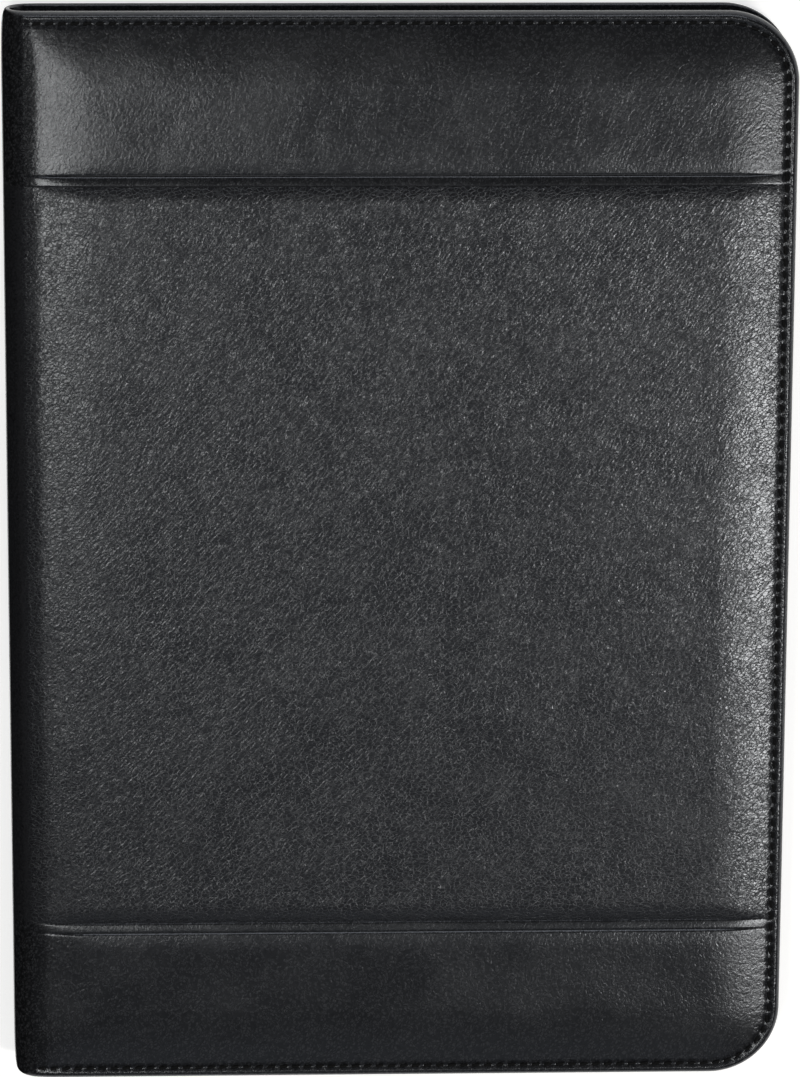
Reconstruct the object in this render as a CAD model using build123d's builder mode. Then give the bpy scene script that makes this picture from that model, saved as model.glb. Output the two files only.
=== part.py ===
from build123d import *
from math import atan2, degrees
import os

# Zip-round padfolio for an A4 pad, in millimetres.
# It lies closed on its back cover: +X to the fore edge, +Y to the top edge, +Z up through the front cover.
# The case is worked out from what it holds: the pad, the pen loop, the pockets and the zip.

# Writing pad
PAD_WIDTH = 210.0
PAD_HEIGHT = 297.0
PAD_CARD = 1.2
PAPER = 3.6
HEADER_DEPTH = 14.0
HEADER_TAPE = 0.4

# Layers of a cover
LEATHER = 1.2
FOAM = 1.5
BOARD = 2.0
LINING = 0.8

# Padded outer form
CORNER_RADIUS = 22.0
LEAST_RADIUS = 2.0
STITCH_INSET = 3.4
CROWN_RUN = 15.0
RIM_DROP = 1.6
EDGE_ROUND = 1.6

# Bands and welts, measured from the top and bottom edges to the middle of each welt
TOP_BAND = 51.4
BOTTOM_BAND = 49.8
WELT_WIDTH = 3.4
WELT_SINK = 0.4
VALLEY_DEPTH = 0.8
VALLEY_RUN = 6.0

# Spine and folds
SPINE_BOARD = 1.0
FOLD_ROOM = 1.5
SPINE_GAP = 0.3
SPINE_CORNER = 6.0

# Pad sleeve and pockets
SLEEVE = 1.0
SLEEVE_HEIGHT = 190.0
SEAM = 2.0
POCKET = 0.8
POCKET_DEPTH = 0.5
POCKET_HEIGHT = 205.0
CARD_POCKET = 0.6
CARD_DEPTH = 0.4
CARD_WIDTH = 98.0
CARD_HEIGHT = 62.0
CARD_STEP = 17.0
CARD_INSET = 14.0
POCKET_CORNER = 6.0
POCKET_CURVE = 8.0
CARD_CURVE = 5.0
LOOSE_SPACE = 4.9

# Pen loop
PEN_BORE = 10.0
LOOP_STRAP = 1.0
LOOP_LENGTH = 32.0
LOOP_HEADROOM = 1.2

# Zip
TAPE = 0.8
TOOTH_PITCH = 3.2
TOOTH_NECK = 1.3
TOOTH_HEAD = 1.9
TOOTH_DEPTH = 2.4
TOOTH_HEIGHT = 1.8
STOP_LENGTH = 1.6
SLIDER_LENGTH = 12.0
SLIDER_TAIL = 7.6
SLIDER_ROUND = 1.2
SLIDER_PLATE = 1.0
SLIDER_LIP = 1.8
POST_LENGTH = 3.6
POST_HEIGHT = 2.0
BRIDGE_SPAN = 7.0
BRIDGE_WIDTH = 2.6
BRIDGE_STRAP = 0.9
PULL_BAR = 1.6
PULL_LENGTH = 29.0
PULL_WIDTH = 7.6
PULL_THICKNESS = 1.4
PULL_EYE = 5.6
PULL_EYE_WALL = 1.6
PULL_SLOT = 9.0
PULL_SLOT_WIDTH = 2.6

# Clearances
RUNNING = 0.3
ZIP_CLEAR = 0.8
BAR_PLAY = 0.2
SLACK = 0.5
END_MARGIN = 20.5
EDGE_MARGIN = 0.6

# Zip section, from the middle of the chain outwards
CHANNEL_DEPTH = TOOTH_DEPTH + 2 * RUNNING
SLIDER_DEPTH = CHANNEL_DEPTH + 2 * SLIDER_PLATE
ROW_GAP = POST_HEIGHT + 2 * RUNNING
CHANNEL_HEIGHT = ROW_GAP + 2 * TOOTH_HEIGHT + 2 * RUNNING
SLIDER_HEIGHT = CHANNEL_HEIGHT + 2 * SLIDER_LIP
TAPE_SLOT = TAPE + 2 * RUNNING
BRIDGE_HOLE = PULL_BAR + 2 * BAR_PLAY
BRIDGE_RISE = BRIDGE_HOLE + BRIDGE_STRAP
ZIP_INSET = SLIDER_DEPTH / 2 + BRIDGE_RISE + EDGE_MARGIN

# Thickness, from the back cover to the front cover
COVER = LEATHER + FOAM + BOARD + LINING
PAD_STACK = PAD_CARD + SLEEVE + PAPER
POCKET_STACK = POCKET_DEPTH + POCKET + 2 * (CARD_DEPTH + CARD_POCKET)
LOOP_SIZE = PEN_BORE + 2 * LOOP_STRAP
CAVITY = max(PAD_STACK + LOOSE_SPACE + POCKET_STACK, LOOP_SIZE + LOOP_HEADROOM)
THICKNESS = 2 * COVER + CAVITY
MIDDLE = THICKNESS / 2
INNER_Z = THICKNESS - COVER
BOARD_Z = INNER_Z + LINING
FOAM_Z = BOARD_Z + BOARD
RIM_Z = THICKNESS - RIM_DROP
FOLD_RADIUS = COVER + FOLD_ROOM
SPINE_WALL = LEATHER + SPINE_BOARD + LINING

# Width and height, from the spine to the fore edge and from the bottom to the top
FORE_MARGIN = ZIP_INSET + TAPE / 2 + ZIP_CLEAR + SEAM + SLACK
SPINE_MARGIN = FOLD_RADIUS + LOOP_SIZE + RUNNING + SEAM + SLACK
WIDTH = SPINE_MARGIN + PAD_WIDTH + FORE_MARGIN
HEIGHT = PAD_HEIGHT + 2 * END_MARGIN
SPINE_X = -WIDTH / 2
COVER_X = SPINE_X + FOLD_RADIUS
LOOP_X = COVER_X + LOOP_SIZE / 2
PAD_X = SPINE_X + SPINE_MARGIN + PAD_WIDTH / 2
UPPER_SEAM = HEIGHT / 2 - TOP_BAND
LOWER_SEAM = BOTTOM_BAND - HEIGHT / 2

# Chain of the zip: bottom edge, fore edge and top edge
CHAIN_X = WIDTH / 2 - ZIP_INSET
CHAIN_Y = HEIGHT / 2 - ZIP_INSET
CHAIN_RADIUS = max(CORNER_RADIUS - ZIP_INSET, LEAST_RADIUS)
ROW_Z = MIDDLE - ROW_GAP / 2 - TOOTH_HEIGHT
CHAIN_START = COVER_X + STOP_LENGTH
SLIDER_X = CHAIN_START + STOP_LENGTH + RUNNING + SLIDER_LENGTH / 2
FRONT_START = SLIDER_X + SLIDER_LENGTH / 2 + STOP_LENGTH
BAR_Y = -CHAIN_Y - SLIDER_DEPTH / 2 - PULL_BAR / 2 - BAR_PLAY

# Crown of the padding: share of the run inwards and share of the rise
CROWN_STEPS = ((0.0, 0.0), (0.2, 0.42), (0.5, 0.8), (1.0, 1.0))


def keep(part, name):
    """Label a finished piece and write it."""
    part.label = name
    export_step(part, f"parts/{name}.step")


def over(part):
    """Turn a piece of the front cover over to the back cover."""
    with BuildPart() as turned:
        add(part)
        mirror(about=Plane.XY.offset(MIDDLE), mode=Mode.REPLACE)
    return turned.part


def cover_outline(inset, left, z):
    """Outline of a cover: square at the spine, round at the fore edge, drawn in by the inset."""
    right = WIDTH / 2 - inset
    top = HEIGHT / 2 - inset
    radius = max(CORNER_RADIUS - inset, LEAST_RADIUS)
    with BuildSketch(Plane.XY.offset(z)) as outline:
        with BuildLine():
            Line((left, -top), (right - radius, -top))
            CenterArc((right - radius, radius - top), radius, -90, 90)
            Line((right, radius - top), (right, top - radius))
            CenterArc((right - radius, top - radius), radius, 0, 90)
            Line((right - radius, top), (left, top))
            Line((left, top), (left, -top))
        make_face()
    return outline.sketch


def crown(inset, left, low, rise, ruled=False):
    """Padded crown that swells from its sewn line to a flat top."""
    sections = [cover_outline(inset + run * CROWN_RUN, left, low + lift * rise) for run, lift in CROWN_STEPS]
    with BuildPart() as pillow:
        loft([section.face() for section in sections], ruled=ruled)
    return pillow.part


def cover_blank(shrink, left, low):
    """Outer form of the front cover: a rounded rim, turned in below, with the padded crown on it."""
    rim = RIM_Z - shrink
    bead = min(EDGE_ROUND, 0.45 * (rim - INNER_Z))
    with BuildPart() as blank:
        extrude(cover_outline(shrink, left, low), amount=rim - low)
        outer = blank.faces().sort_by(Axis.Z)[-1].edges()
        fillet(outer.filter_by(lambda edge: edge.center().X > left + LEAST_RADIUS), bead)
        turned_in = blank.faces().sort_by(Axis.Z)[0].edges()
        chamfer(turned_in.filter_by(lambda edge: edge.center().X > left + LEAST_RADIUS), bead / 2)
        add(crown(STITCH_INSET, left, rim, RIM_DROP))
    return blank.part


def valleys():
    """Tool that draws the padding down to the two welts."""
    half = WELT_WIDTH / 2
    floor = THICKNESS - VALLEY_DEPTH
    with BuildPart() as tool:
        with BuildSketch(Plane.YZ):
            for seam in (UPPER_SEAM, LOWER_SEAM):
                with BuildLine():
                    start = (seam - half - VALLEY_RUN, THICKNESS)
                    end = (seam + half + VALLEY_RUN, THICKNESS)
                    TangentArc(start, (seam - half, floor), tangent=(1, 0))
                    Line((seam - half, floor), (seam + half, floor))
                    TangentArc(end, (seam + half, floor), tangent=(-1, 0))
                    Polyline(end, (end[0], THICKNESS + COVER), (start[0], THICKNESS + COVER), start)
                make_face()
        extrude(amount=WIDTH, both=True)
    return tool.part


def band(part, low, high):
    """Slice of a leather piece between two places along the case."""
    with BuildPart() as slice_:
        add(part)
        split(bisect_by=Plane((0, low, 0), z_dir=(0, 1, 0)), keep=Keep.TOP)
        split(bisect_by=Plane((0, high, 0), z_dir=(0, 1, 0)), keep=Keep.BOTTOM)
    return slice_.part


def bands(full, sunk):
    """Top band, centre panel and bottom band of a leather piece, and its two welts."""
    half = WELT_WIDTH / 2
    top = band(full, UPPER_SEAM + half, HEIGHT)
    center = band(full, LOWER_SEAM + half, UPPER_SEAM - half)
    bottom = band(full, -HEIGHT, LOWER_SEAM - half)
    upper = band(sunk, UPPER_SEAM - half, UPPER_SEAM + half)
    lower = band(sunk, LOWER_SEAM - half, LOWER_SEAM + half)
    return top, center, bottom, upper, lower


def group(parts):
    """Several solids in one piece."""
    with BuildPart() as joined:
        add(parts)
    return joined.part


os.makedirs("parts", exist_ok=True)

# Inside of a cover, drawn as the front cover
with BuildPart() as board:
    extrude(cover_outline(LEATHER, COVER_X, BOARD_Z), amount=BOARD)

with BuildPart() as foam:
    add(crown(STITCH_INSET + LEATHER, COVER_X, FOAM_Z, FOAM, ruled=True))

with BuildPart() as lining:
    extrude(cover_outline(ZIP_INSET + TAPE / 2, COVER_X, INNER_Z), amount=LINING)

with BuildPart() as lining_recess:
    extrude(cover_outline(ZIP_INSET - TAPE / 2, COVER_X, INNER_Z), amount=LINING)

for name, piece in (("board", board.part), ("foam", foam.part), ("lining", lining.part)):
    keep(over(piece), f"back_{name}")
    keep(piece, f"front_{name}")


# Leather of a cover, turned in over the board as far as the zip
def leather(shrink):
    """Leather shell of the front cover round its board, foam and lining."""
    with BuildPart() as shell:
        add(cover_blank(shrink, COVER_X, INNER_Z))
        add([board.part, foam.part, lining_recess.part], mode=Mode.SUBTRACT)
    return shell.part


with BuildPart() as padded_leather:
    add(leather(0))
    add(valleys(), mode=Mode.SUBTRACT)

LEATHER_NAMES = ("top_band", "center_panel", "bottom_band", "upper_welt", "lower_welt")
for name, piece in zip(LEATHER_NAMES, bands(padded_leather.part, leather(WELT_SINK))):
    keep(over(piece), f"back_{name}")
    keep(piece, f"front_{name}")

# Spine: leather, stiffener and lining, with its ends rounded off
with BuildPart() as case_ends:
    with BuildSketch() as plan:
        Rectangle(WIDTH, HEIGHT)
        fillet(plan.vertices().group_by(Axis.X)[0], SPINE_CORNER)
    extrude(amount=THICKNESS)


def spine_layer(start, thickness):
    """Flat layer of the spine, at its depth from the outside."""
    tall = THICKNESS - 2 * FOLD_RADIUS - 2 * SPINE_GAP
    with BuildPart() as layer:
        with Locations((SPINE_X + start, 0, MIDDLE)):
            Box(thickness, HEIGHT, tall, align=(Align.MIN, Align.CENTER, Align.CENTER))
        add(case_ends.part, mode=Mode.INTERSECT)
    return layer.part


spine_leather = bands(spine_layer(0, LEATHER), spine_layer(WELT_SINK, LEATHER - WELT_SINK))
for name, piece in zip(LEATHER_NAMES, spine_leather):
    keep(piece, f"spine_{name}")
keep(spine_layer(LEATHER, SPINE_BOARD), "spine_board")
keep(spine_layer(LEATHER + SPINE_BOARD, LINING), "spine_lining")


# Folds: the leather and the lining that bend between the spine and a cover
with BuildPart() as crown_ends:
    with BuildSketch(Plane.YZ.offset(COVER_X)):
        sewn = HEIGHT / 2 - STITCH_INSET
        slope = [(sewn - run * CROWN_RUN, RIM_Z + lift * RIM_DROP) for run, lift in CROWN_STEPS]
        upper = [(HEIGHT / 2, 0), (HEIGHT / 2, RIM_Z), *slope]
        lower = [(-y, z) for y, z in reversed(upper)]
        with BuildLine():
            Polyline(*upper, *lower, close=True)
        make_face()
    extrude(amount=FOLD_RADIUS, both=True)


def bend(depth, radius, thickness):
    """Quarter bend up from the spine, at its depth from the outside of the spine."""
    center = (SPINE_X + depth + radius, THICKNESS - FOLD_RADIUS)
    with BuildPart() as quarter:
        with BuildSketch(Plane.XZ):
            with Locations(center):
                Circle(radius)
                Circle(radius - thickness, mode=Mode.SUBTRACT)
                Rectangle(radius, radius, align=(Align.MAX, Align.MIN), mode=Mode.INTERSECT)
            with Locations((SPINE_X + depth, center[1])):
                Rectangle(thickness, SPINE_GAP, align=(Align.MIN, Align.MAX))
        extrude(amount=HEIGHT / 2, both=True)
        add(case_ends.part, mode=Mode.INTERSECT)
        add(crown_ends.part, mode=Mode.INTERSECT)
    return quarter.part


full_bend = bend(0, FOLD_RADIUS, LEATHER)
sunk_bend = bend(WELT_SINK, FOLD_RADIUS - WELT_SINK, LEATHER - WELT_SINK)
fold_leather = group(bands(full_bend, sunk_bend))

LINING_BEND = FOLD_ROOM + LINING
LINING_TURN = SPINE_X + SPINE_WALL + FOLD_ROOM
with BuildPart() as fold_lining:
    add(bend(SPINE_WALL - LINING, LINING_BEND, LINING))
    with Locations((LINING_TURN, 0, INNER_Z)):
        Box(COVER_X - LINING_TURN, HEIGHT, LINING, align=(Align.MIN, Align.CENTER, Align.MIN))
keep(over(fold_leather), "back_fold_leather")
keep(over(fold_lining.part), "back_fold_lining")
keep(fold_leather, "front_fold_leather")
keep(fold_lining.part, "front_fold_lining")

# Writing pad: backing card behind the sleeve, paper in front of it, both bound at the top
PAD_TOP = PAD_HEIGHT / 2
PAPER_Z = COVER + PAD_CARD + SLEEVE
with BuildPart() as pad_card:
    with Locations((PAD_X, 0, COVER)):
        Box(PAD_WIDTH, PAD_HEIGHT, PAD_CARD, align=(Align.CENTER, Align.CENTER, Align.MIN))
keep(pad_card.part, "pad_card")

with BuildPart() as paper_block:
    with Locations((PAD_X, 0, PAPER_Z)):
        Box(PAD_WIDTH, PAD_HEIGHT, PAPER, align=(Align.CENTER, Align.CENTER, Align.MIN))
keep(paper_block.part, "paper_block")

with BuildPart() as pad_header:
    with BuildSketch(Plane.YZ.offset(PAD_X)):
        with BuildLine():
            Polyline(
                (PAD_TOP - HEADER_DEPTH, PAPER_Z + PAPER),
                (PAD_TOP, PAPER_Z + PAPER),
                (PAD_TOP, PAPER_Z),
                (PAD_TOP - HEADER_DEPTH, PAPER_Z),
                (PAD_TOP - HEADER_DEPTH, COVER + PAD_CARD),
                (PAD_TOP, COVER + PAD_CARD),
                (PAD_TOP, COVER),
                (PAD_TOP + HEADER_TAPE, COVER),
                (PAD_TOP + HEADER_TAPE, PAPER_Z + PAPER + HEADER_TAPE),
                (PAD_TOP - HEADER_DEPTH, PAPER_Z + PAPER + HEADER_TAPE),
                close=True,
            )
        make_face()
    extrude(amount=PAD_WIDTH / 2, both=True)
keep(pad_header.part, "pad_header")


# Pockets: a flat panel on a hem that closes its two sides and its bottom
def hem(width, height, bottom, center_x, z, depth):
    """Hem of a pocket, open at the top."""
    with BuildPart() as strip:
        with BuildSketch(Plane.XY.offset(z)) as plan:
            with Locations((center_x, bottom)):
                Rectangle(width, height, align=(Align.CENTER, Align.MIN))
            fillet(plan.vertices().group_by(Axis.Y)[0], POCKET_CORNER)
            with Locations((center_x, bottom + SEAM)):
                Rectangle(width - 2 * SEAM, height, align=(Align.CENTER, Align.MIN), mode=Mode.SUBTRACT)
        extrude(amount=depth)
    return strip.part


def panel(width, height, bottom, center_x, z, thickness, curve):
    """Panel of a pocket, with a shallow curve in its top edge."""
    half = width / 2
    top = bottom + height
    with BuildPart() as sheet:
        with BuildSketch(Plane.XY.offset(z)) as plan:
            with BuildLine():
                Polyline((center_x - half, top), (center_x - half, bottom), (center_x + half, bottom),
                         (center_x + half, top))
                ThreePointArc((center_x + half, top), (center_x, top - curve), (center_x - half, top))
            make_face()
            fillet(plan.vertices().group_by(Axis.Y)[0], POCKET_CORNER)
        extrude(amount=thickness)
    return sheet.part


SLEEVE_WIDTH = PAD_WIDTH + 2 * (SEAM + SLACK)
SLEEVE_BOTTOM = -PAD_HEIGHT / 2 - SEAM - SLACK
SLEEVE_Z = COVER + PAD_CARD
keep(hem(SLEEVE_WIDTH, SLEEVE_HEIGHT, SLEEVE_BOTTOM, PAD_X, COVER, PAD_CARD), "pad_sleeve_hem")
pad_sleeve = panel(SLEEVE_WIDTH, SLEEVE_HEIGHT, SLEEVE_BOTTOM, PAD_X, SLEEVE_Z, SLEEVE, POCKET_CURVE)
keep(pad_sleeve, "pad_sleeve")

HEM_Z = INNER_Z - POCKET_DEPTH
POCKET_Z = HEM_Z - POCKET
keep(hem(SLEEVE_WIDTH, POCKET_HEIGHT, SLEEVE_BOTTOM, PAD_X, HEM_Z, POCKET_DEPTH), "document_pocket_hem")
document_pocket = panel(SLEEVE_WIDTH, POCKET_HEIGHT, SLEEVE_BOTTOM, PAD_X, POCKET_Z, POCKET, POCKET_CURVE)
keep(document_pocket, "document_pocket")

CARD_X = PAD_X + SLEEVE_WIDTH / 2 - CARD_INSET - CARD_WIDTH / 2
CARD_BOTTOM = SLEEVE_BOTTOM + CARD_INSET
for tier, name in enumerate(("upper", "lower")):
    card_hem_z = POCKET_Z - tier * (CARD_DEPTH + CARD_POCKET) - CARD_DEPTH
    card_height = CARD_HEIGHT + (1 - tier) * CARD_STEP
    keep(hem(CARD_WIDTH, card_height, CARD_BOTTOM, CARD_X, card_hem_z, CARD_DEPTH), f"{name}_card_hem")
    card_z = card_hem_z - CARD_POCKET
    card_panel = panel(CARD_WIDTH, card_height, CARD_BOTTOM, CARD_X, card_z, CARD_POCKET, CARD_CURVE)
    keep(card_panel, f"{name}_card_pocket")

# Pen loop: a strap round the pen, sewn flat to the lining beside the spine
with BuildPart() as pen_loop:
    with BuildSketch(Plane.XZ):
        with Locations((LOOP_X, COVER + LOOP_SIZE / 2)):
            Circle(LOOP_SIZE / 2)
        with Locations((LOOP_X, COVER)):
            Rectangle(LOOP_SIZE, LOOP_STRAP, align=(Align.CENTER, Align.MIN))
        with Locations((LOOP_X, COVER + LOOP_SIZE / 2)):
            Circle(PEN_BORE / 2, mode=Mode.SUBTRACT)
    extrude(amount=LOOP_LENGTH / 2, both=True)
keep(pen_loop.part, "pen_loop")


# Zip tapes: walls that stand on the boards, one on each cover
def tape(start):
    """Tape of the front cover, from its start on the bottom edge round to the top edge."""
    low = MIDDLE + ROW_GAP / 2 + TOOTH_HEIGHT
    with BuildPart() as wall:
        with BuildSketch() as strip:
            add(cover_outline(ZIP_INSET - TAPE / 2, COVER_X + RUNNING, 0))
            add(cover_outline(ZIP_INSET + TAPE / 2, COVER_X, 0), mode=Mode.SUBTRACT)
            with Locations((COVER_X, -CHAIN_Y)):
                Rectangle(start - COVER_X, 2 * TAPE, align=(Align.MIN, Align.CENTER), mode=Mode.SUBTRACT)
        extrude(strip.sketch.moved(Location((0, 0, low))), amount=BOARD_Z - low)
    return wall.part


keep(over(tape(COVER_X + RUNNING)), "back_zip_tape")
keep(tape(FRONT_START), "front_zip_tape")


# Zip teeth: flared heads along the edge of each tape
def tooth_places(start):
    """Even places along the chain, from its start on the bottom edge round to the top edge."""
    turn_x = CHAIN_X - CHAIN_RADIUS
    turn_y = CHAIN_Y - CHAIN_RADIUS
    with BuildLine() as chain:
        Line((start, -CHAIN_Y), (turn_x, -CHAIN_Y))
        CenterArc((turn_x, -turn_y), CHAIN_RADIUS, -90, 90)
        Line((CHAIN_X, -turn_y), (CHAIN_X, turn_y))
        CenterArc((turn_x, turn_y), CHAIN_RADIUS, 0, 90)
        Line((turn_x, CHAIN_Y), (CHAIN_START + STOP_LENGTH + TOOTH_PITCH / 2, CHAIN_Y))
    path = chain.wire()
    count = int(path.length / TOOTH_PITCH)
    places = []
    for index in range(count + 1):
        point = path @ (index / count)
        heading = path % (index / count)
        places.append(Location((point.X, point.Y, 0), (0, 0, degrees(atan2(heading.Y, heading.X)))))
    return places


def teeth(start, neck_z, head_z):
    """Row of teeth that stands on the edge of a tape."""
    with BuildPart() as tooth:
        with BuildSketch(Plane.XZ):
            with BuildLine():
                Polyline((-TOOTH_NECK / 2, neck_z), (TOOTH_NECK / 2, neck_z), (TOOTH_HEAD / 2, head_z),
                         (-TOOTH_HEAD / 2, head_z), close=True)
            make_face()
        extrude(amount=TOOTH_DEPTH / 2, both=True)
    with BuildPart() as row:
        with Locations(*tooth_places(start)):
            add(tooth.part)
    return row.part


HEAD_Z = ROW_Z + TOOTH_HEIGHT
keep(teeth(CHAIN_START + STOP_LENGTH + TOOTH_PITCH / 2, ROW_Z, HEAD_Z), "back_zip_teeth")
keep(teeth(FRONT_START + TOOTH_PITCH / 2, THICKNESS - ROW_Z, THICKNESS - HEAD_Z), "front_zip_teeth")

# Zip stops: blocks at the ends of the rows
with BuildPart() as back_zip_stops:
    with Locations((CHAIN_START, -CHAIN_Y, ROW_Z), (CHAIN_START, CHAIN_Y, ROW_Z)):
        Box(STOP_LENGTH, TOOTH_DEPTH, TOOTH_HEIGHT, align=(Align.MIN, Align.CENTER, Align.MIN))
keep(back_zip_stops.part, "back_zip_stops")

with BuildPart() as front_zip_stop:
    with Locations((CHAIN_START, CHAIN_Y, MIDDLE + ROW_GAP / 2)):
        Box(STOP_LENGTH, TOOTH_DEPTH, TOOTH_HEIGHT, align=(Align.MIN, Align.CENTER, Align.MIN))
keep(front_zip_stop.part, "front_zip_stop")

# Zip slider: two lipped plates joined by a post between the rows, broad at its leading end
SLIDER_AT = Plane((SLIDER_X, -CHAIN_Y, MIDDLE))
with BuildPart() as slider_body:
    with BuildSketch(Plane(SLIDER_AT.origin, x_dir=(0, 1, 0), z_dir=(1, 0, 0))):
        Rectangle(SLIDER_DEPTH, SLIDER_HEIGHT)
        Rectangle(CHANNEL_DEPTH, CHANNEL_HEIGHT, mode=Mode.SUBTRACT)
        Rectangle(TAPE_SLOT, SLIDER_HEIGHT, mode=Mode.SUBTRACT)
    extrude(amount=SLIDER_LENGTH / 2, both=True)
    with BuildSketch(Plane(SLIDER_AT.origin, x_dir=(1, 0, 0), z_dir=(0, -1, 0))) as shield:
        with BuildLine():
            Polyline(
                (-SLIDER_LENGTH / 2, -SLIDER_TAIL / 2),
                (0, -SLIDER_HEIGHT / 2),
                (SLIDER_LENGTH / 2, -SLIDER_HEIGHT / 2),
                (SLIDER_LENGTH / 2, SLIDER_HEIGHT / 2),
                (0, SLIDER_HEIGHT / 2),
                (-SLIDER_LENGTH / 2, SLIDER_TAIL / 2),
                close=True,
            )
        make_face()
        fillet(shield.vertices(), SLIDER_ROUND)
    extrude(amount=SLIDER_DEPTH, both=True, mode=Mode.INTERSECT)
    with Locations((SLIDER_X + SLIDER_LENGTH / 2 - POST_LENGTH / 2 - SLIDER_ROUND, -CHAIN_Y, MIDDLE)):
        Box(POST_LENGTH, CHANNEL_DEPTH, POST_HEIGHT)
keep(slider_body.part, "slider_body")

# Bridge: an arch on the outer plate that holds the bar of the pull
with BuildPart() as slider_bridge:
    with BuildSketch(Plane.XY.offset(MIDDLE)) as arch:
        with Locations((SLIDER_X, -CHAIN_Y - SLIDER_DEPTH / 2)):
            Rectangle(BRIDGE_SPAN, BRIDGE_RISE, align=(Align.CENTER, Align.MAX))
        fillet(arch.vertices().group_by(Axis.Y)[0], BRIDGE_STRAP)
        with Locations((SLIDER_X, -CHAIN_Y - SLIDER_DEPTH / 2)):
            Rectangle(BRIDGE_SPAN - 2 * BRIDGE_STRAP, BRIDGE_HOLE, align=(Align.CENTER, Align.MAX),
                      mode=Mode.SUBTRACT)
    extrude(amount=BRIDGE_WIDTH / 2, both=True)
keep(slider_bridge.part, "slider_bridge")

# Pull: a rounded tab with an eye round the bridge, a bar under it, and a slot near its tip
with BuildPart() as pull_tab:
    with BuildSketch(Plane((SLIDER_X, BAR_Y, MIDDLE), x_dir=(1, 0, 0), z_dir=(0, -1, 0))) as tab:
        Rectangle(PULL_LENGTH, PULL_WIDTH, align=(Align.MIN, Align.CENTER))
        fillet(tab.vertices().group_by(Axis.X)[-1], PULL_WIDTH / 3)
        with Locations((PULL_BAR / 2, 0)):
            Rectangle(PULL_EYE, PULL_WIDTH - 2 * PULL_EYE_WALL, align=(Align.MIN, Align.CENTER),
                      mode=Mode.SUBTRACT)
        with Locations((PULL_LENGTH - PULL_WIDTH / 2 - PULL_SLOT / 2, 0)):
            SlotOverall(PULL_SLOT, PULL_SLOT_WIDTH, mode=Mode.SUBTRACT)
    extrude(amount=PULL_THICKNESS / 2, both=True)
    with Locations((SLIDER_X, BAR_Y, MIDDLE)):
        Cylinder(PULL_BAR / 2, PULL_WIDTH)
keep(pull_tab.part, "pull_tab")
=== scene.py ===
import math

import bmesh
import bpy
import numpy as np
from mathutils import Matrix, Vector


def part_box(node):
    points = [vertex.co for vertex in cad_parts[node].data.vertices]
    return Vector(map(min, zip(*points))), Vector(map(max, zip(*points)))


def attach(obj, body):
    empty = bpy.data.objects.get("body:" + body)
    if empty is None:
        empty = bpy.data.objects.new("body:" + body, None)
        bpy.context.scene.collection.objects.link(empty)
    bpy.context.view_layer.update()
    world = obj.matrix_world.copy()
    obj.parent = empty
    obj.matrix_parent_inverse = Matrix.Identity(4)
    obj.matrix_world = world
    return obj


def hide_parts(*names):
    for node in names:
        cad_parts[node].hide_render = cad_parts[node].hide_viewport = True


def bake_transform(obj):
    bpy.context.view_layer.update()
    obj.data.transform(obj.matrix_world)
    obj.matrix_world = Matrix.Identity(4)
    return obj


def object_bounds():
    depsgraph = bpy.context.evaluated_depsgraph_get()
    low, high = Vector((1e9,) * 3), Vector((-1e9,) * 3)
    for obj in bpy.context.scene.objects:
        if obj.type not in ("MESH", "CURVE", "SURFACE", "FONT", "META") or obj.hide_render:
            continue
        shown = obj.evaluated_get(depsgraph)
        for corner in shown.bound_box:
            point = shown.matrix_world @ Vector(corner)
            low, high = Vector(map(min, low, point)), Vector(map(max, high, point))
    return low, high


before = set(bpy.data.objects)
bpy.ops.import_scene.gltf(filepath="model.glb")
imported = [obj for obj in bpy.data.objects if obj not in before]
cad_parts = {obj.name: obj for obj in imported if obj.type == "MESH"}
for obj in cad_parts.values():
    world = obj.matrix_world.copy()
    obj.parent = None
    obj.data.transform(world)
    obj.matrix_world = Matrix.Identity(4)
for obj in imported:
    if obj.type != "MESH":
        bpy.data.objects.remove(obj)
cad_low, cad_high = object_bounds()

MM = 0.001

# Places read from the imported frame, in metres
LEFT, RIGHT = cad_low.x, cad_high.x
TOP, THICK = cad_high.y, cad_high.z
COVER_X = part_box("front_center_panel")[0].x
INNER_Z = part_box("front_lining")[0].z
LINING_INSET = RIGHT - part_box("front_lining")[1].x
LOWER_WELT = (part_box("front_lower_welt")[0].y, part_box("front_lower_welt")[1].y)
UPPER_WELT = (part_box("front_upper_welt")[0].y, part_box("front_upper_welt")[1].y)
SPINE_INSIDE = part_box("spine_lining")[1].x - LEFT

# Each cover, and its outward way along Z
OUTWARD = {"front": 1, "back": -1}

# A distance beyond the reach of any seam
FAR = 1.0

# Form of the padded leather
CORNER = 22.0 * MM
RIM_DROP = 1.6 * MM
CROWN_RUN = 11.0 * MM
CROWN_BEND = 4.5 * MM
LEFT_SLOPE = math.tan(math.radians(5.0))
LEFT_RUN = 15.0 * MM
LEFT_BEND = 5.0 * MM
TURN_SLOPE = math.tan(math.radians(10.0))
TURN_RUN = 3.8 * MM
TURN_BEND = 0.9 * MM
EDGE_ROUND = 2.0 * MM
SPINE_EDGE_ROUND = 1.6 * MM
SPINE_EDGE_RUN = 4.5 * MM
UNDER_ROUND = 0.8 * MM
FLAP = 5.5 * MM
LEATHER = 0.9 * MM
DROP_POWER = 3.0

# Sewn rim: the groove's depth varies along each stitch, about a mean share
STITCH_INSET = 3.4 * MM
STITCH_PITCH = 3.8 * MM
GROOVE_DEPTH = 0.4 * MM
GROOVE_HALF = 1.05 * MM
GROOVE_MEAN = 0.6
GROOVE_BEAT = 0.4
RIM_BULGE = 0.3 * MM
BULGE_BEAT = 0.12
PUCKER = 0.03 * MM
PUCKER_RUN = 2.2 * MM
PUCKER_START = 0.8 * MM

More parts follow.
